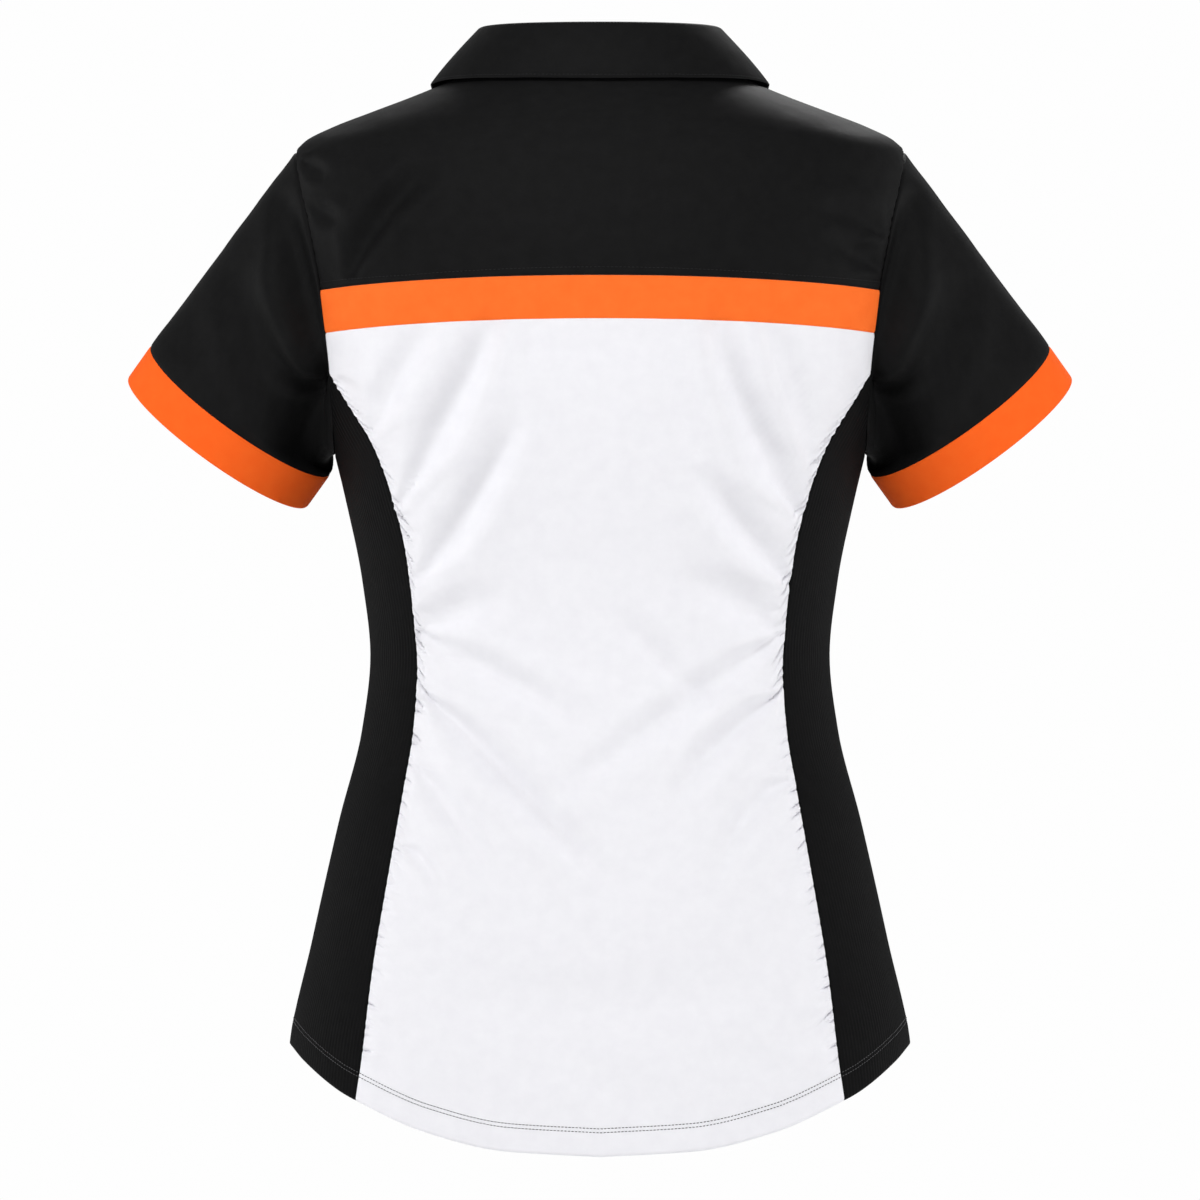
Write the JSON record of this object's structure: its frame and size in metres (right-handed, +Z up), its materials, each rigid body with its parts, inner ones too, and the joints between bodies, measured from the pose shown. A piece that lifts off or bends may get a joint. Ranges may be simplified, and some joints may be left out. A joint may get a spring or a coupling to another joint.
{
  "type": "work shirt",
  "caption": "Women's short-sleeved work shirt in black, white and orange, filled out with no wearer, hollow and open at neck, hem and sleeves.",
  "frame": {"origin": "middle of the neck opening, level with the neck seam at the back, where a wearer's neck and shoulders would carry the shirt", "axes": "+Z up, +Y to the shirt's back, -Y to its buttoned front, +X to the wearer's left"},
  "size_m": [0.5982, 0.2587, 0.7038],
  "materials": {
    "white_cloth": "matte",
    "black_cloth": "matte",
    "orange_cloth": "matte",
    "ribbed_cloth": "matte",
    "button_black": "satin"
  },
  "bodies": {
    "root": {"back_panel": "white_cloth", "back_band": "orange_cloth", "back_yoke": "black_cloth", "side_panel_left": "ribbed_cloth", "side_panel_right": "ribbed_cloth", "front_left": "white_cloth", "front_right": "white_cloth", "front_placket": "white_cloth", "collar_stand": "black_cloth", "collar_fall": "black_cloth", "sleeve_left": "black_cloth", "sleeve_right": "black_cloth", "sleeve_band_left": "orange_cloth", "sleeve_band_right": "orange_cloth", "button_1": "button_black", "button_2": "button_black", "button_3": "button_black", "button_4": "button_black", "button_5": "button_black", "button_6": "button_black", "button_7": "button_black"}
  },
  "joints": []
}
